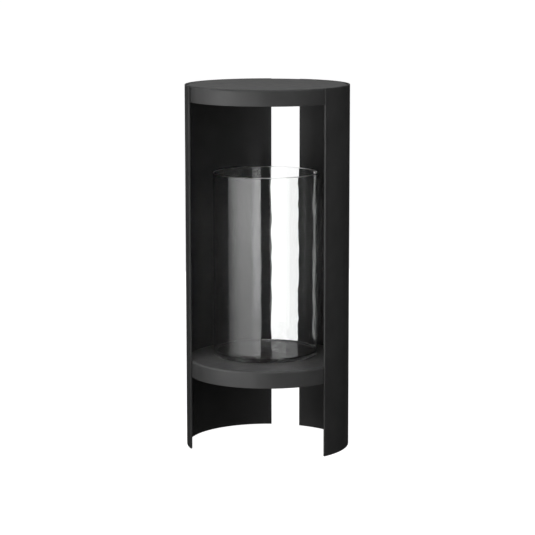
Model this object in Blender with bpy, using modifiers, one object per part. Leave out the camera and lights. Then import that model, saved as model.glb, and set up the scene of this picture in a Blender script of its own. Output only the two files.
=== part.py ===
"""Candle lantern: two rolled steel panels, joined by a cap and a shelf, round a loose glass cylinder.

Metres, +Z up. The origin is the panels' common axis, on the floor. The wide opening faces -Y and
the narrow slot faces +Y. Angles round the lantern are counted from the front, towards +X.
"""

import math

import bpy

# Overall size
OUTER_RADIUS = 0.090
HEIGHT = 0.400
SHEET = 0.002
SEAM_GAP = 0.0003

# Rolled panels
FRONT_HALF_ANGLE = math.radians(57.0)
SLOT_HALF_ANGLE = math.radians(10.7)
PANEL_STEPS = 30

# Cap and shelf: flat pans with a turned-down flange, nested inside the panels
PAN_RADIUS = OUTER_RADIUS - SHEET - SEAM_GAP
PAN_BEND = 0.0024
CAP_FLANGE_LOW = 0.3822
SHELF_TOP = 0.0988
SHELF_FLANGE_LOW = 0.0802
PAN_STEPS = 96
PAN_BEND_POINTS = 5

# Weld beads, laid under a flange's lower edge and along a panel's inner face
BEAD_RADIUS = 0.0008
BEAD_SWEEP = math.radians(16.0)
BEAD_POINTS = 9
BEAD_ANGLES = {"front": math.radians(90.0), "rear": math.radians(145.0)}

# Glass cylinder, standing towards the back of the shelf
GLASS_CENTRE = (-0.0050, 0.0115)
GLASS_RADIUS = 0.0580
GLASS_HEIGHT = 0.2032
GLASS_WALL = 0.0015
GLASS_FLOOR = 0.0035
GLASS_HEEL = 0.0018
GLASS_INNER_CORNER = 0.0022
GLASS_STEPS = 64

POWDER_COAT = (0.022, 0.022, 0.023, 1.0)
CLEAR_GLASS = (0.93, 0.95, 0.94, 1.0)


def clear_scene():
    for obj in list(bpy.data.objects):
        bpy.data.objects.remove(obj, do_unlink=True)


def make_collection(name):
    collection = bpy.data.collections.new(name)
    bpy.context.scene.collection.children.link(collection)
    return collection


def principled(name):
    material = bpy.data.materials.new(name)
    material.use_nodes = True
    return material, material.node_tree.nodes["Principled BSDF"]


def powder_coated_steel(node_name, roughness):
    material, shader = principled(node_name + "_powder_coat")
    shader.inputs["Base Color"].default_value = POWDER_COAT
    shader.inputs["Roughness"].default_value = roughness
    shader.inputs["Metallic"].default_value = 0.0
    material.diffuse_color = POWDER_COAT
    return material


def clear_glass(node_name):
    material, shader = principled(node_name + "_clear_glass")
    shader.inputs["Base Color"].default_value = CLEAR_GLASS
    shader.inputs["Roughness"].default_value = 0.02
    shader.inputs["Metallic"].default_value = 0.0
    shader.inputs["Transmission Weight"].default_value = 1.0
    shader.inputs["IOR"].default_value = 1.52
    return material


def add_part(name, data, material, collection, location=(0.0, 0.0, 0.0)):
    """One named sub-part, hung from the lantern's empty."""
    obj = bpy.data.objects.new(name, data)
    obj.location = location
    obj.parent = bpy.data.objects["lantern_origin"]
    obj.data.materials.append(material)
    collection.objects.link(obj)
    return obj


def profile_mesh(name, points):
    """A line of edges in the XZ plane, which a Screw turns about Z."""
    edges = [(i, i + 1) for i in range(len(points) - 1)]
    mesh = bpy.data.meshes.new(name)
    mesh.from_pydata([(radius, 0.0, height) for radius, height in points], edges, [])
    return mesh


def add_screw(obj, angle, steps):
    screw = obj.modifiers.new("turn", "SCREW")
    screw.angle = angle
    screw.steps = steps
    screw.render_steps = steps
    screw.use_merge_vertices = True
    screw.merge_threshold = 0.00001
    screw.use_smooth_shade = True


def turned(name, points, steps, material, collection, location=(0.0, 0.0, 0.0)):
    obj = add_part(name, profile_mesh(name, points), material, collection, location)
    add_screw(obj, math.tau, steps)
    return obj


def arc(centre, radius, start, end, count):
    """Points on a round corner of a profile, both ends included."""
    found = []
    for i in range(count):
        angle = start + (end - start) * i / (count - 1)
        found.append((centre[0] + radius * math.cos(angle), centre[1] + radius * math.sin(angle)))
    return found


def rolled_panel(name, start_angle, material, collection):
    """A curved sheet: a vertical line swept round the lantern's axis, thickened inwards."""
    line = profile_mesh(name, [(OUTER_RADIUS, HEIGHT), (OUTER_RADIUS, 0.0)])
    obj = add_part(name, line, material, collection)
    sweep = math.pi - FRONT_HALF_ANGLE - SLOT_HALF_ANGLE
    obj.rotation_euler.z = start_angle
    add_screw(obj, sweep, PANEL_STEPS)
    skin = obj.modifiers.new("sheet", "SOLIDIFY")
    skin.thickness = SHEET
    skin.offset = -1.0
    return obj


def pan(name, low, high, material, collection):
    """A round pan of sheet steel, open below: a flat top, a rounded bend and a short flange."""
    inner_bend = PAN_BEND - SHEET
    centre = (PAN_RADIUS - PAN_BEND, high - PAN_BEND)
    outside = arc(centre, PAN_BEND, math.pi / 2, 0.0, PAN_BEND_POINTS)
    inside = arc(centre, inner_bend, 0.0, math.pi / 2, PAN_BEND_POINTS)
    flange = [(PAN_RADIUS, low), (PAN_RADIUS - SHEET, low)]
    outline = [(0.0, high)] + outside + flange + inside + [(0.0, high - SHEET)]
    return turned(name, outline, PAN_STEPS, material, collection)


def stitch_weld(name, angle, flange_low, material, collection):
    """A short bead under a flange's lower edge, along the panel's inner face."""
    route_radius = OUTER_RADIUS - SHEET - SEAM_GAP - BEAD_RADIUS
    height = flange_low - SEAM_GAP - BEAD_RADIUS
    curve = bpy.data.curves.new(name, "CURVE")
    curve.dimensions = "3D"
    curve.bevel_depth = BEAD_RADIUS
    curve.bevel_resolution = 2
    curve.use_fill_caps = True
    spline = curve.splines.new("POLY")
    spline.points.add(BEAD_POINTS - 1)
    for i, point in enumerate(spline.points):
        along = angle + BEAD_SWEEP * (i / (BEAD_POINTS - 1) - 0.5)
        x = route_radius * math.sin(along)
        y = -route_radius * math.cos(along)
        point.co = (x, y, height, 1.0)
    return add_part(name, curve, material, collection)


def glass_outline():
    """The cylinder's half section: up its inner wall, over the rim and down the outside."""
    inner = GLASS_RADIUS - GLASS_WALL
    rim_radius = GLASS_WALL / 2
    corner = (inner - GLASS_INNER_CORNER, GLASS_FLOOR + GLASS_INNER_CORNER)
    rim = (GLASS_RADIUS - rim_radius, GLASS_HEIGHT - rim_radius)
    heel = (GLASS_RADIUS - GLASS_HEEL, GLASS_HEEL)
    outline = [(0.0, GLASS_FLOOR)]
    outline += arc(corner, GLASS_INNER_CORNER, -math.pi / 2, 0.0, 5)
    outline += arc(rim, rim_radius, math.pi, 0.0, 7)
    outline += arc(heel, GLASS_HEEL, 0.0, -math.pi / 2, 5)
    outline.append((0.0, 0.0))
    return outline


def make_panels(collection):
    quarter = math.pi / 2
    starts = {
        "right_panel": FRONT_HALF_ANGLE - quarter,
        "left_panel": math.pi + SLOT_HALF_ANGLE - quarter,
    }
    for name, start in starts.items():
        rolled_panel(name, start, powder_coated_steel(name, 0.45), collection)


def make_pans(collection):
    levels = {"cap": (CAP_FLANGE_LOW, HEIGHT), "shelf": (SHELF_FLANGE_LOW, SHELF_TOP)}
    for name, (low, high) in levels.items():
        pan(name, low, high, powder_coated_steel(name, 0.45), collection)


def make_stitch_welds(collection):
    levels = {"cap": CAP_FLANGE_LOW, "shelf": SHELF_FLANGE_LOW}
    sides = {"right": 1.0, "left": -1.0}
    for level, flange_low in levels.items():
        for side, sign in sides.items():
            for place, angle in BEAD_ANGLES.items():
                name = f"{level}_weld_{side}_{place}"
                steel = powder_coated_steel(name, 0.55)
                stitch_weld(name, sign * angle, flange_low, steel, collection)


def make_glass(collection):
    centre = (*GLASS_CENTRE, SHELF_TOP + SEAM_GAP)
    material = clear_glass("glass_cylinder")
    turned("glass_cylinder", glass_outline(), GLASS_STEPS, material, collection, centre)


def main():
    clear_scene()
    lantern = make_collection("candle_lantern")
    origin = bpy.data.objects.new("lantern_origin", None)
    lantern.objects.link(origin)
    make_panels(lantern)
    make_pans(lantern)
    make_stitch_welds(lantern)
    make_glass(lantern)


main()
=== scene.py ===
"""Candle lantern, the looks: powder-coated rolled steel and a clear glass cylinder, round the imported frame.

Metres, in the frame's own axes: the front opening faces -Y. Angles round the lantern are counted
from the front, towards +X. Every size comes from the frame's boxes and the few constants below.
"""

import math

import bmesh
import bpy
from mathutils import Matrix, Vector, noise


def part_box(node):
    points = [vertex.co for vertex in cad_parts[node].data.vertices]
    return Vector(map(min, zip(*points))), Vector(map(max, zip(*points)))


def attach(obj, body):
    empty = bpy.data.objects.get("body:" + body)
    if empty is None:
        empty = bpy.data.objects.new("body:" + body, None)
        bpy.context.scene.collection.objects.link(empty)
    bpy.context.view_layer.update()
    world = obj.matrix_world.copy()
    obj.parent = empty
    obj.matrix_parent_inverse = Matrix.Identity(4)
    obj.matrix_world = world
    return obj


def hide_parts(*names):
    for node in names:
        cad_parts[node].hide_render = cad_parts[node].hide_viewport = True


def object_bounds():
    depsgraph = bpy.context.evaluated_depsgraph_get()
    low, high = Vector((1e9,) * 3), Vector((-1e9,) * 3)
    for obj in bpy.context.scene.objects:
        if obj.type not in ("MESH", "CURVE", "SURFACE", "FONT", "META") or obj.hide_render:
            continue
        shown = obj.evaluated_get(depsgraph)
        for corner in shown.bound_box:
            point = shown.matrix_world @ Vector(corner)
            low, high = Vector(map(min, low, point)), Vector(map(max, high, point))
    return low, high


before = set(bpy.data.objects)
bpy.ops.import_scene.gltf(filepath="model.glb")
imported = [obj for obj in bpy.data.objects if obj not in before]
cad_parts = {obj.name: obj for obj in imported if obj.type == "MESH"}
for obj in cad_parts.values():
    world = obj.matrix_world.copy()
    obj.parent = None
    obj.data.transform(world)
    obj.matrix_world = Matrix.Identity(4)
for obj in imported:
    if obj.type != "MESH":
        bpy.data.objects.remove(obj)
cad_low, cad_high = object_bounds()

STEEL_BODY = "lantern_body"
GLASS_BODY = "glass"

# Camera: where it stands from the lantern's foot, and how it is turned
CAMERA_AZIMUTH = math.radians(13.62)
CAMERA_DISTANCE = 2.2715
CAMERA_HEIGHT = 0.5619
CAMERA_PITCH = math.radians(9.108)
CAMERA_ROLL = math.radians(0.063)
CAMERA_LENS = 140.34
SENSOR_WIDTH = 36.0

# Sheet steel
SHEET = 0.002
ARRIS = 0.00035
ARRIS_STEPS = 4
PAN_BEND = 0.0024
BEND_STEPS = 12
TURN_STEPS = 360
LEVEL_SPACING = 0.008
ROLLING_WAVE = 0.00006
ROLLING_WAVE_LENGTH = 0.055
PAN_WAVE = 0.00005
PAN_WAVE_LENGTH = 0.045
PAN_FLAT_RADIUS = 0.084

# Powder coat
COAT_ALBEDO = 0.045
# The shelf's copy of the same coat is painted paler than the rest: painted light for the light its top
# catches
SHELF_PAINTED_LIGHT_ALBEDO = 0.065
COAT_ROUGHNESS = 0.4
WELD_ROUGHNESS = 0.46
COAT_IOR = 1.5
CLOUD_SCALE = 38.0
GLOSS_SCALE = 90.0
PEEL_SCALE = 950.0
PEEL_DEPTH = 0.00003
FLOW_SCALE = 260.0
FLOW_DEPTH = 0.00006
# How much paler the arrises are painted: a painted highlight, not a thinner coat
ARRIS_PAINTED_HIGHLIGHT = 2.2

# Weld beads
BEAD_RADIUS = 0.0008
BEAD_SWEEP = math.radians(16.0)
BEAD_ANGLES = {"front": math.radians(90.0), "rear": math.radians(145.0)}
BEAD_RIPPLES = 18
BEAD_RIPPLE_DEPTH = 0.14
BEAD_POINTS = 181
BEAD_SIDES = 20
BEAD_TAPER = 0.06

# Glass cylinder
GLASS_WALL = 0.0015
GLASS_FLOOR = 0.0035
GLASS_HEEL = 0.0018
GLASS_INNER_CORNER = 0.0022
GLASS_STEPS = 288
GLASS_LEVEL_SPACING = 0.0025
GLASS_WAVE = 0.0001
GLASS_WAVE_LENGTH = 0.014
GLASS_TINT = (0.985, 0.99, 0.987, 1.0)
GLASS_IOR = 1.5
DRAWING_LINE_SCALE = 160.0
DRAWING_LINE_STRETCH = 0.12
DRAWING_LINE_DEPTH = 0.00001
HAZE_SCALE = 30.0
HAZE_ROUGHNESS = 0.012
RIM_ROUGHNESS = 0.35
RIM_MATT_DEPTH = 0.0012

# Floor and room
FLOOR_RADIUS = 40.0
FLOOR_GLOW = 1.01
FLOOR_DROP = 0.0002
ROOM_LIGHT = 0.012
WHITE_BACKGROUND = 1.08

# Key light: its azimuth from the camera, distance and span, and how its radiance is shared out,
# each share with its place from one end of the light (0) to the other (1)
KEY_PLACE = (-48.85, 0.83, (-1.07, 0.66))
KEY_RADIANCE = 2.8
KEY_ACROSS = ((0.0, 0.04), (0.13, 0.19), (0.33, 0.35), (0.47, 0.69), (0.59, 0.95), (0.8, 1.06), (1.0, 0.97))
KEY_UPWARD = ((0.0, 0.52), (0.26, 0.66), (0.4, 0.73), (0.56, 0.84), (0.7, 1.0), (1.0, 1.0))
HIGH_KEY_ACROSS = ((0.0, 0.2), (0.33, 0.5), (0.47, 0.86), (0.59, 0.78), (0.7, 0.28), (0.8, 0.08),
                   (1.0, 0.05))
EVEN = ((0.0, 1.0),)


# ---------------------------------------------------------------- mesh helpers


def arc(centre, radius, start, end, steps):
    """Points on a round corner of an outline, both ends included."""
    found = []
    for i in range(steps + 1):
        angle = start + (end - start) * i / steps
        found.append((centre[0] + radius * math.cos(angle), centre[1] + radius * math.sin(angle)))
    return found


def spread(low, high, spacing):
    """Evenly spaced values strictly between two ends."""
    count = max(1, round(abs(high - low) / spacing))
    return [low + (high - low) * i / count for i in range(1, count)]


def around(centre, angle, radius, height):
    """A point by its angle from the front, its distance from an upright axis and its height."""
    return (centre[0] + radius * math.sin(angle), centre[1] - radius * math.cos(angle), height)


def bridge(bm, first, second):
    """Quads between two closed rings of the same count."""
    count = len(first)
    for i in range(count):
        j = (i + 1) % count
        bm.faces.new((first[i], first[j], second[j], second[i]))


def fan(bm, ring, place):
    """Triangles from a closed ring to one point."""
    pole = bm.verts.new(place)
    for i, vert in enumerate(ring):
        bm.faces.new((vert, ring[(i + 1) % len(ring)], pole))


def mesh_from(bm, name):
    """A finished mesh, shaded smooth, with its normals outward."""
    bmesh.ops.remove_doubles(bm, verts=bm.verts, dist=1e-7)
    bmesh.ops.recalc_face_normals(bm, faces=bm.faces)
    mesh = bpy.data.meshes.new(name)
    bm.to_mesh(mesh)
    bm.free()
    mesh.shade_smooth()
    return mesh


def revolve(name, centre, outline, steps, warp):
    """A closed body turned from a half outline whose two ends lie on the axis."""
    bm = bmesh.new()
    rings = []
    for radius, height in outline[1:-1]:
        ring = []
        for k in range(steps):
            angle = math.tau * k / steps
            outward, upward = warp(angle, radius, height)
            ring.append(bm.verts.new(around(centre, angle, radius + outward, height + upward)))
        rings.append(ring)
    for first, second in zip(rings, rings[1:]):
        bridge(bm, first, second)
    for end, ring in ((outline[0], rings[0]), (outline[-1], rings[-1])):
        upward = warp(0.0, 0.0, end[1])[1]
        fan(bm, ring, (centre[0], centre[1], end[1] + upward))
    return mesh_from(bm, name)


def new_piece(name, mesh, body, material, node):
    """A visual piece that rides a body and stands in for one CAD node."""
    obj = bpy.data.objects.new(name, mesh)
    bpy.context.scene.collection.objects.link(obj)
    mesh.materials.append(material)
    weighted = obj.modifiers.new("even_normals", "WEIGHTED_NORMAL")
    weighted.mode = "FACE_AREA"
    weighted.weight = 80
    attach(obj, body)
    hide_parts(node)
    return obj


# ---------------------------------------------------------------- material helpers


def add_node(tree, kind, inputs=(), **settings):
    """A node with its settings, and with its inputs linked or set."""
    made = tree.nodes.new(kind)
    for key, value in settings.items():
        setattr(made, key, value)
    for key, value in dict(inputs).items():
        if isinstance(value, bpy.types.NodeSocket):
            tree.links.new(value, made.inputs[key])
        else:
            made.inputs[key].default_value = value
    return made


def multiplied(tree, first, second):
    return add_node(tree, "ShaderNodeMath", {0: first, 1: second}, operation="MULTIPLY").outputs[0]


def new_material(name):
    material = bpy.data.materials.new(name)
    material.use_nodes = True
    return material, material.node_tree, material.node_tree.nodes["Principled BSDF"]


def ranged(tree, value, from_low, from_high, to_low, to_high):
    """A value moved from one range to another, and held at its ends."""
    ends = {"From Min": from_low, "From Max": from_high, "To Min": to_low, "To Max": to_high}
    return add_node(tree, "ShaderNodeMapRange", {"Value": value, **ends}).outputs["Result"]


def noise_between(tree, place, scale, detail, low, high):
    """A noise whose middle half is spread over a range."""
    pattern = add_node(tree, "ShaderNodeTexNoise", {"Vector": place, "Scale": scale, "Detail": detail})
    return ranged(tree, pattern.outputs["Fac"], 0.3, 0.7, low, high)


def grey(value):
    return (value, value, value, 1.0)


def powder_coat(name, albedo, roughness, seed):
    """Satin black powder coat: orange peel, cloudy gloss, and a painted highlight, a paler colour along the
    arrises where light catches them.
    """
    material, tree, shader = new_material(name)
    coordinates = add_node(tree, "ShaderNodeTexCoord").outputs["Object"]
    shifted = {"Vector": coordinates, "Location": (seed, 2 * seed, 3 * seed)}
    place = add_node(tree, "ShaderNodeMapping", shifted).outputs["Vector"]

    cloud = noise_between(tree, place, CLOUD_SCALE, 3.0, 0.0, 1.0)
    tone = add_node(tree, "ShaderNodeMix", {"Factor": cloud}, data_type="RGBA")
    tone.inputs["A"].default_value = grey(albedo * 0.9)
    tone.inputs["B"].default_value = grey(albedo * 1.12)
    # Painted highlight: where pointiness finds an arris, the base colour is made paler, standing in for the
    # light that catches the edges
    pointed = add_node(tree, "ShaderNodeNewGeometry").outputs["Pointiness"]
    edge = ranged(tree, pointed, 0.53, 0.62, 0.0, 0.55)
    coat = add_node(tree, "ShaderNodeMix", {"Factor": edge, "A": tone.outputs["Result"]}, data_type="RGBA")
    coat.inputs["B"].default_value = grey(albedo * ARRIS_PAINTED_HIGHLIGHT)
    tree.links.new(coat.outputs["Result"], shader.inputs["Base Color"])

    gloss = noise_between(tree, place, GLOSS_SCALE, 2.0, roughness - 0.03, roughness + 0.04)
    tree.links.new(gloss, shader.inputs["Roughness"])

    peel = add_node(tree, "ShaderNodeTexNoise", {"Vector": place, "Scale": PEEL_SCALE, "Detail": 1.5})
    flow = add_node(tree, "ShaderNodeTexNoise", {"Vector": place, "Scale": FLOW_SCALE, "Detail": 1.0})
    slow = {"Height": flow.outputs["Fac"], "Strength": 0.35, "Distance": FLOW_DEPTH}
    slow_normal = add_node(tree, "ShaderNodeBump", slow).outputs["Normal"]
    fine = {"Height": peel.outputs["Fac"], "Strength": 0.4, "Distance": PEEL_DEPTH, "Normal": slow_normal}
    bump = add_node(tree, "ShaderNodeBump", fine)
    tree.links.new(bump.outputs["Normal"], shader.inputs["Normal"])
    shader.inputs["IOR"].default_value = COAT_IOR
    return material


def clear_glass(name, rim_height):
    """Clear glass with faint drawing lines up its wall, a hint of handling haze and a matt rim."""
    material, tree, shader = new_material(name)
    coordinates = add_node(tree, "ShaderNodeTexCoord").outputs["Object"]
    drawn_out = {"Vector": coordinates, "Scale": (1.0, 1.0, DRAWING_LINE_STRETCH)}
    stretched = add_node(tree, "ShaderNodeMapping", drawn_out).outputs["Vector"]
    pattern = {"Vector": stretched, "Scale": DRAWING_LINE_SCALE, "Detail": 1.0}
    lines = add_node(tree, "ShaderNodeTexNoise", pattern)
    relief = {"Height": lines.outputs["Fac"], "Strength": 0.2, "Distance": DRAWING_LINE_DEPTH}
    bump = add_node(tree, "ShaderNodeBump", relief)
    tree.links.new(bump.outputs["Normal"], shader.inputs["Normal"])

    haze = noise_between(tree, coordinates, HAZE_SCALE, 3.0, 0.0, HAZE_ROUGHNESS)
    height = add_node(tree, "ShaderNodeSeparateXYZ", {"Vector": coordinates}).outputs["Z"]
    ends = (rim_height - RIM_MATT_DEPTH, rim_height - RIM_MATT_DEPTH / 2)
    rim = ranged(tree, height, *ends, 0.0, RIM_ROUGHNESS)
    rougher = add_node(tree, "ShaderNodeMath", {0: haze, 1: rim}, operation="MAXIMUM").outputs[0]
    tree.links.new(rougher, shader.inputs["Roughness"])
    shader.inputs["Base Color"].default_value = GLASS_TINT
    shader.inputs["Transmission Weight"].default_value = 1.0
    shader.inputs["IOR"].default_value = GLASS_IOR
    return material


# ---------------------------------------------------------------- the rolled panels


def rolling_wave(angle, height, radius):
    """How far a rolled sheet strays from its true radius: a few hundredths of a millimetre."""
    place = Vector((radius * math.sin(angle), radius * math.cos(angle), height * 0.6))
    return ROLLING_WAVE * noise.noise(place / ROLLING_WAVE_LENGTH)


def panel_ring(radius, start, end, inset):
    """A panel's plan outline pulled in by inset, as (angle, radius), with its arrises rounded."""
    outer = radius - inset
    inner = radius - SHEET + inset
    corner = ARRIS - inset
    low = start * radius + inset + corner
    high = end * radius - inset - corner
    steps = round(TURN_STEPS * (end - start) / math.tau)
    half = arc((low, outer - corner), corner, math.pi, math.pi / 2, ARRIS_STEPS)
    half += [(low + (high - low) * i / steps, outer) for i in range(1, steps)]
    half += arc((high, outer - corner), corner, math.pi / 2, 0.0, ARRIS_STEPS)
    outside = [(along / radius, r) for along, r in half]
    return outside + [(angle, outer + inner - r) for angle, r in reversed(outside)]


def panel_levels(low, high):
    """(height, inset) up a panel: rounded at the foot and the head, and straight between."""
    turns = [math.pi / 2 * i / ARRIS_STEPS for i in range(ARRIS_STEPS + 1)]
    rounding = [(ARRIS * (1 - math.cos(turn)), ARRIS * (1 - math.sin(turn))) for turn in turns]
    foot = [(low + rise, inset) for rise, inset in rounding]
    head = [(high - rise, inset) for rise, inset in reversed(rounding)]
    ends = (low + 3 * ARRIS, high - 3 * ARRIS)
    straight = [ends[0]] + spread(*ends, LEVEL_SPACING) + [ends[1]]
    return foot + [(height, 0.0) for height in straight] + head


def panel_mesh(name, radius, low, high, start, end):
    """A rolled sheet with every cut edge rounded."""
    bm = bmesh.new()
    rings = []
    for height, inset in panel_levels(low, high):
        ring = []
        for angle, r in panel_ring(radius, start, end, inset):
            r += rolling_wave(angle, height, radius)
            ring.append(bm.verts.new(around((0.0, 0.0), angle, r, height)))
        rings.append(ring)
    for first, second in zip(rings, rings[1:]):
        bridge(bm, first, second)
    for ring in (rings[0], rings[-1]):
        for j in range(len(ring) // 2 - 1):
            bm.faces.new((ring[j], ring[j + 1], ring[-2 - j], ring[-1 - j]))
    return mesh_from(bm, name)


def make_panels(radius):
    front = math.acos(-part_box("right_panel")[0].y / radius)
    rear = math.pi - math.acos(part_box("right_panel")[1].y / radius)
    for side, sign in (("left", -1.0), ("right", 1.0)):
        node = side + "_panel"
        low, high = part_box(node)
        start, end = sorted((sign * front, sign * rear))
        mesh = panel_mesh(node + "_sheet", radius, low.z, high.z, start, end)
        material = powder_coat(node + "_coat", COAT_ALBEDO, COAT_ROUGHNESS, 1.0 + sign)
        new_piece(node + "_sheet", mesh, STEEL_BODY, material, node)


# ---------------------------------------------------------------- the cap and the shelf


def pan_outline(radius, low, high):
    """Half section of a flat pan, open below, with a rounded bend and a short flange."""
    inner_bend = PAN_BEND - SHEET
    bend = (radius - PAN_BEND, high - PAN_BEND)
    inner = radius - SHEET
    flat = spread(0.0, radius - PAN_BEND, LEVEL_SPACING)
    flange = spread(high - PAN_BEND, low + ARRIS, LEVEL_SPACING / 2)
    outline = [(0.0, high)] + [(r, high) for r in flat]
    outline += arc(bend, PAN_BEND, math.pi / 2, 0.0, BEND_STEPS)
    outline += [(radius, z) for z in flange]
    outline += arc((radius - ARRIS, low + ARRIS), ARRIS, 0.0, -math.pi / 2, ARRIS_STEPS)
    outline += arc((inner + ARRIS, low + ARRIS), ARRIS, -math.pi / 2, -math.pi, ARRIS_STEPS)
    outline += [(inner, z) for z in reversed(flange)]
    outline += arc(bend, inner_bend, 0.0, math.pi / 2, ARRIS_STEPS)
    outline += [(r, high - SHEET) for r in reversed(flat)]
    return outline + [(0.0, high - SHEET)]


def pan_wave(angle, radius, height):
    """Pressed flats are never quite flat, while the flange stays true."""
    place = Vector((radius * math.sin(angle), radius * math.cos(angle), height))
    fade = max(0.0, 1.0 - (radius / PAN_FLAT_RADIUS) ** 6)
    return 0.0, fade * PAN_WAVE * noise.noise(place / PAN_WAVE_LENGTH)


def make_pans():
    # The shelf takes a paler copy of the same coat: painted light, not a different finish
    for node, albedo, seed in (("cap", COAT_ALBEDO, 5.0), ("shelf", SHELF_PAINTED_LIGHT_ALBEDO, 6.0)):
        low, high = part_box(node)
        outline = pan_outline(high.x, low.z, high.z)
        mesh = revolve(node + "_pan", (0.0, 0.0), outline, TURN_STEPS, pan_wave)
        material = powder_coat(node + "_coat", albedo, COAT_ROUGHNESS, seed)
        new_piece(node + "_pan", mesh, STEEL_BODY, material, node)


# ---------------------------------------------------------------- the weld beads


def bead_mesh(name, radius, height, middle):
    """A rippled fillet bead along an arc, thinning out at both ends."""
    bm = bmesh.new()
    rings = []
    for i in range(BEAD_POINTS):
        along = i / (BEAD_POINTS - 1)
        angle = middle + BEAD_SWEEP * (along - 0.5)
        taper = math.sqrt(min(1.0, min(along, 1.0 - along) / BEAD_TAPER + 0.01))
        dip = 1.0 - abs(math.sin(math.pi * BEAD_RIPPLES * along))
        ripple = 1.0 - BEAD_RIPPLE_DEPTH * dip
        thickness = BEAD_RADIUS * taper * ripple
        ring = []
        for r, z in arc((radius, height), thickness, 0.0, math.tau, BEAD_SIDES)[:-1]:
            ring.append(bm.verts.new(around((0.0, 0.0), angle, r, z)))
        rings.append(ring)
    for first, second in zip(rings, rings[1:]):
        bridge(bm, first, second)
    for ring in (rings[0], rings[-1]):
        bm.faces.new(ring)
    return mesh_from(bm, name)


def make_weld_beads(panel_radius):
    material = powder_coat("weld_coat", COAT_ALBEDO, WELD_ROUGHNESS, 7.0)
    for level in ("cap", "shelf"):
        flange_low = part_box(level)[0].z
        for side, sign in (("right", 1.0), ("left", -1.0)):
            for place, angle in BEAD_ANGLES.items():
                node = f"{level}_weld_{side}_{place}"
                radius = panel_radius - SHEET - BEAD_RADIUS
                mesh = bead_mesh(node + "_bead", radius, flange_low - BEAD_RADIUS, sign * angle)
                new_piece(node + "_bead", mesh, STEEL_BODY, material, node)


# ---------------------------------------------------------------- the glass


def glass_outline(radius, low, high):
    """Half section of the cylinder: up its inner wall, over the rim, down and under the heel."""
    inner = radius - GLASS_WALL
    floor = low + GLASS_FLOOR
    rim = (radius - GLASS_WALL / 2, high - GLASS_WALL / 2)
    inner_corner = (inner - GLASS_INNER_CORNER, floor + GLASS_INNER_CORNER)
    heel = (radius - GLASS_HEEL, low + GLASS_HEEL)
    outline = [(0.0, floor)] + [(r, floor) for r in spread(0.0, inner_corner[0], GLASS_LEVEL_SPACING)]
    outline += arc(inner_corner, GLASS_INNER_CORNER, -math.pi / 2, 0.0, 10)
    outline += [(inner, z) for z in spread(inner_corner[1], rim[1], GLASS_LEVEL_SPACING)]
    outline += arc(rim, GLASS_WALL / 2, math.pi, 0.0, 20)
    outline += [(radius, z) for z in spread(rim[1], heel[1], GLASS_LEVEL_SPACING)]
    outline += arc(heel, GLASS_HEEL, 0.0, -math.pi / 2, 12)
    outline += [(r, low) for r in spread(heel[0], 0.0, GLASS_LEVEL_SPACING)]
    return outline + [(0.0, low)]


def make_glass():
    low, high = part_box("glass_cylinder")
    centre = ((low.x + high.x) / 2, (low.y + high.y) / 2)
    radius = (high.x - low.x) / 2
    inner = radius - GLASS_WALL
    floor = low.z + GLASS_FLOOR

    def uneven(angle, r, height):
        """The inner faces wander by under two tenths of a millimetre; the outside is true."""
        if r > inner + 1e-5 or height < floor - 1e-5:
            return 0.0, 0.0
        place = Vector((r * math.sin(angle), r * math.cos(angle), height)) / GLASS_WAVE_LENGTH
        wave = GLASS_WAVE * (noise.noise(place) + 0.5 * noise.noise(place * 2.1))
        return (wave, 0.0) if height > floor + 1e-5 else (0.0, wave)

    outline = glass_outline(radius, low.z, high.z)
    mesh = revolve("glass_clear", centre, outline, GLASS_STEPS, uneven)
    material = clear_glass("clear_glass", high.z)
    new_piece("glass_clear", mesh, GLASS_BODY, material, "glass_cylinder")


# ---------------------------------------------------------------- the studio


def make_camera():
    data = bpy.data.cameras.new("camera")
    data.lens = CAMERA_LENS
    data.sensor_width = SENSOR_WIDTH
    camera = bpy.data.objects.new("camera", data)
    bpy.context.scene.collection.objects.link(camera)
    camera.location = around((0.0, 0.0), CAMERA_AZIMUTH, CAMERA_DISTANCE, CAMERA_HEIGHT)
    turn = Matrix.Rotation(CAMERA_AZIMUTH, 3, "Z")
    tilt = Matrix.Rotation(math.pi / 2 - CAMERA_PITCH, 3, "X")
    roll = Matrix.Rotation(-CAMERA_ROLL, 3, "Z")
    camera.rotation_euler = (turn @ tilt @ roll).to_euler()
    bpy.context.scene.camera = camera


def stage_object(name, mesh, material):
    obj = bpy.data.objects.new(name, mesh)
    bpy.context.scene.collection.objects.link(obj)
    mesh.materials.append(material)
    return obj


def straight_through_glass(tree, path):
    """1 for a camera ray that has only passed through glass, else 0."""
    depths = {0: path.outputs["Glossy Depth"], 1: path.outputs["Diffuse Depth"]}
    bounced = add_node(tree, "ShaderNodeMath", depths, operation="ADD").outputs[0]
    straight = add_node(tree, "ShaderNodeMath", {0: bounced, 1: 0.5}, operation="LESS_THAN").outputs[0]
    return multiplied(tree, straight, path.outputs["Is Transmission Ray"])


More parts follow.
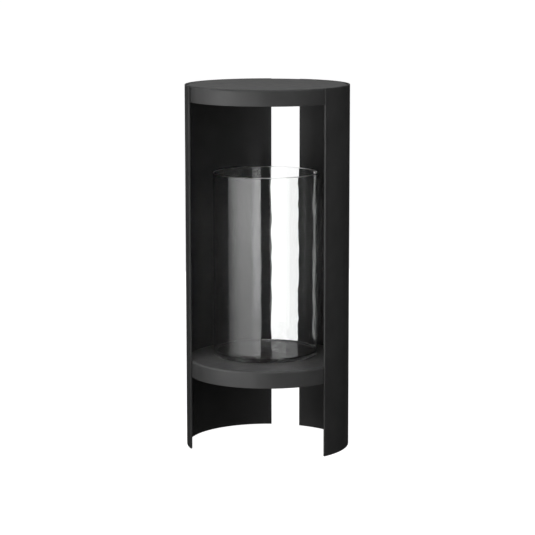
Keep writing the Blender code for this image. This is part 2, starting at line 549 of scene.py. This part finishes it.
def glow_material(name, radiance, across, upward):
    """Light from the front face only; each ramp holds (place over the sheet, share of the radiance)."""
    material = bpy.data.materials.new(name)
    material.use_nodes = True
    tree = material.node_tree
    tree.nodes.clear()
    spread_over = add_node(tree, "ShaderNodeTexCoord").outputs["UV"]
    split = add_node(tree, "ShaderNodeSeparateXYZ", {"Vector": spread_over})
    level = add_node(tree, "ShaderNodeNewGeometry").outputs["Backfacing"]
    level = add_node(tree, "ShaderNodeMath", {0: 1.0, 1: level}, operation="SUBTRACT").outputs[0]
    for axis, stops in (("X", across), ("Y", upward)):
        ramp = add_node(tree, "ShaderNodeValToRGB", {"Fac": split.outputs[axis]})
        elements = ramp.color_ramp.elements
        elements.remove(elements[1])
        elements[0].position = stops[0][0]
        elements[0].color = grey(stops[0][1])
        for place, share in stops[1:]:
            elements.new(place).color = grey(share)
        level = multiplied(tree, level, ramp.outputs["Color"])
    level = multiplied(tree, level, radiance)
    emission = add_node(tree, "ShaderNodeEmission", {"Color": grey(1.0), "Strength": level})
    unseen = straight_through_glass(tree, add_node(tree, "ShaderNodeLightPath"))
    clear = add_node(tree, "ShaderNodeBsdfTransparent")
    mixed = {"Fac": unseen, 1: emission.outputs["Emission"], 2: clear.outputs["BSDF"]}
    mix = add_node(tree, "ShaderNodeMixShader", mixed)
    add_node(tree, "ShaderNodeOutputMaterial", {"Surface": mix.outputs[0]})
    return material


def glow_sheet(name, places, radiance, across=EVEN, upward=EVEN):
    """A flat sheet through four places that glows on one side and isn't seen itself."""
    mesh = bpy.data.meshes.new(name)
    mesh.from_pydata(places, [], [(3, 2, 1, 0)])
    layer = mesh.uv_layers.new(name="spread")
    corners = ((0.0, 0.0), (1.0, 0.0), (1.0, 1.0), (0.0, 1.0))
    for loop in mesh.loops:
        layer.data[loop.index].uv = corners[loop.vertex_index]
    sheet = stage_object(name, mesh, glow_material(name, radiance, across, upward))
    sheet.visible_camera = False
    return sheet


def softbox(name, azimuth, distance, span, heights, radiance, across=EVEN, upward=EVEN):
    """An upright glowing sheet that faces the lantern.

    The azimuth is counted from the camera's own, and span holds how far the sheet reaches to the
    viewer's left and right of its middle.
    """
    angle = CAMERA_AZIMUTH + math.radians(azimuth)
    middle = Vector(around((0.0, 0.0), angle, distance, 0.0))
    along = Vector((math.cos(angle), math.sin(angle), 0.0))
    low, high = heights
    places = []
    for reach, height in ((span[0], low), (span[1], low), (span[1], high), (span[0], high)):
        spot = middle + along * reach
        places.append((spot.x, spot.y, height))
    return glow_sheet(name, places, radiance, across, upward)


def overhead(name, azimuth, distance, height, half, radiance):
    """A level glowing square that faces down."""
    x, y, z = around((0.0, 0.0), CAMERA_AZIMUTH + math.radians(azimuth), distance, height)
    corners = ((-half, -half), (half, -half), (half, half), (-half, half))
    places = [(x + aside, y + along, z) for aside, along in corners]
    return glow_sheet(name, places, radiance)


def hide_from(sheets, *rays):
    """Keep sheets out of the given kinds of rays."""
    for sheet in sheets:
        for ray in rays:
            setattr(sheet, "visible_" + ray, False)


def make_key_lights():
    """The large soft light on the left, in two rows, and a narrow one far round to the left."""
    softbox("key_softbox", *KEY_PLACE, (-0.1, 0.24), KEY_RADIANCE, KEY_ACROSS, KEY_UPWARD)
    softbox("high_key_softbox", *KEY_PLACE, (0.24, 0.6), KEY_RADIANCE, HIGH_KEY_ACROSS)
    softbox("far_left_softbox", azimuth=-112.0, distance=0.85, span=(-0.14, 0.14), heights=(0.3, 1.2),
            radiance=0.9)


def make_fill_lights():
    """A weak light on the right, and dim reflectors and a level sheet behind."""
    softbox("fill_softbox", azimuth=29.0, distance=0.9, span=(-0.286, 0.286), heights=(-0.05, 0.8),
            radiance=0.2)
    softbox("back_reflector", azimuth=180.0, distance=1.6, span=(-0.45, 0.45), heights=(-0.3, 0.45),
            radiance=0.24)
    softbox("high_back_reflector", azimuth=180.0, distance=1.6, span=(-0.6, 0.6), heights=(0.45, 1.2),
            radiance=0.18)
    overhead("rear_overhead", azimuth=180.0, distance=0.9, height=1.3, half=0.5, radiance=1.0)


def make_glass_lights():
    """Sheets that only show in the glass: its bright strip, its edge line and its rim."""
    strip = softbox("glass_strip", azimuth=29.0, distance=0.9, span=(-0.286, 0.5), heights=(-0.05, 0.8),
                    radiance=2.5)
    edge = softbox("glass_edge_line", azimuth=180.0, distance=1.6, span=(0.55, 1.3), heights=(-0.3, 0.45),
                   radiance=1.1)
    rim = softbox("rim_light", azimuth=0.0, distance=0.6, span=(-0.7, 0.7), heights=(0.75, 1.3),
                  radiance=16.0)
    hide_from((strip, edge, rim), "diffuse", "glossy")


def make_matt_lights():
    """Sheets that light the coat evenly and leave no reflection of their own."""
    front = softbox("front_softbox", azimuth=2.0, distance=0.9, span=(-0.19, 0.19), heights=(-0.1, 1.2),
                    radiance=1.3)
    right = softbox("right_softbox", azimuth=52.0, distance=0.9, span=(-0.15, 0.15), heights=(-0.1, 0.9),
                    radiance=1.6)
    above = overhead("front_overhead", azimuth=-20.0, distance=0.35, height=0.9, half=0.2, radiance=8.0)
    right_rear = softbox("right_rear_softbox", azimuth=130.0, distance=1.2, span=(-0.6, 0.6),
                         heights=(-0.1, 1.2), radiance=0.8)
    rear = softbox("rear_softbox", azimuth=185.0, distance=1.2, span=(-0.5, 0.5), heights=(-0.1, 1.0),
                   radiance=2.0)
    hide_from((front, right, above, right_rear, rear), "glossy", "transmission")


def make_floor():
    """A plain pale floor with a glow of its own, so that it shows as white."""
    bm = bmesh.new()
    bmesh.ops.create_circle(bm, cap_ends=True, segments=96, radius=FLOOR_RADIUS)
    mesh = bpy.data.meshes.new("floor")
    bm.to_mesh(mesh)
    bm.free()
    material, tree, shader = new_material("floor_paper")
    coordinates = add_node(tree, "ShaderNodeTexCoord").outputs["Object"]
    tone = noise_between(tree, coordinates, 4.0, 2.0, 0.24, 0.26)
    tree.links.new(tone, shader.inputs["Base Color"])
    shader.inputs["Roughness"].default_value = 0.9
    shader.inputs["Specular IOR Level"].default_value = 0.0
    shader.inputs["Emission Color"].default_value = grey(1.0)
    shader.inputs["Emission Strength"].default_value = FLOOR_GLOW
    floor = stage_object("floor", mesh, material)
    floor.location.z = -FLOOR_DROP
    floor.visible_diffuse = False
    floor.visible_glossy = False
    floor.visible_transmission = False


def make_world():
    """White behind everything that is seen, and a dim grey room for everything that is lit."""
    world = bpy.data.worlds.new("studio")
    bpy.context.scene.world = world
    world.use_nodes = True
    tree = world.node_tree
    tree.nodes.clear()
    path = add_node(tree, "ShaderNodeLightPath")
    either = {0: path.outputs["Is Camera Ray"], 1: straight_through_glass(tree, path)}
    straight = add_node(tree, "ShaderNodeMath", either, operation="MAXIMUM")
    room = add_node(tree, "ShaderNodeBackground", {"Color": grey(1.0), "Strength": ROOM_LIGHT})
    white = add_node(tree, "ShaderNodeBackground", {"Color": grey(1.0), "Strength": WHITE_BACKGROUND})
    mixed = {"Fac": straight.outputs[0], 1: room.outputs[0], 2: white.outputs[0]}
    mix = add_node(tree, "ShaderNodeMixShader", mixed)
    add_node(tree, "ShaderNodeOutputWorld", {"Surface": mix.outputs[0]})


def make_studio():
    make_camera()
    make_floor()
    make_world()
    make_key_lights()
    make_fill_lights()
    make_glass_lights()
    make_matt_lights()
    scene = bpy.context.scene
    scene.view_settings.view_transform = "Standard"
    scene.cycles.max_bounces = 24
    scene.cycles.transmission_bounces = 16
    scene.cycles.glossy_bounces = 12
    scene.cycles.diffuse_bounces = 4


outer_radius = cad_high.x
make_panels(outer_radius)
make_pans()
make_weld_beads(outer_radius)
make_glass()
make_studio()
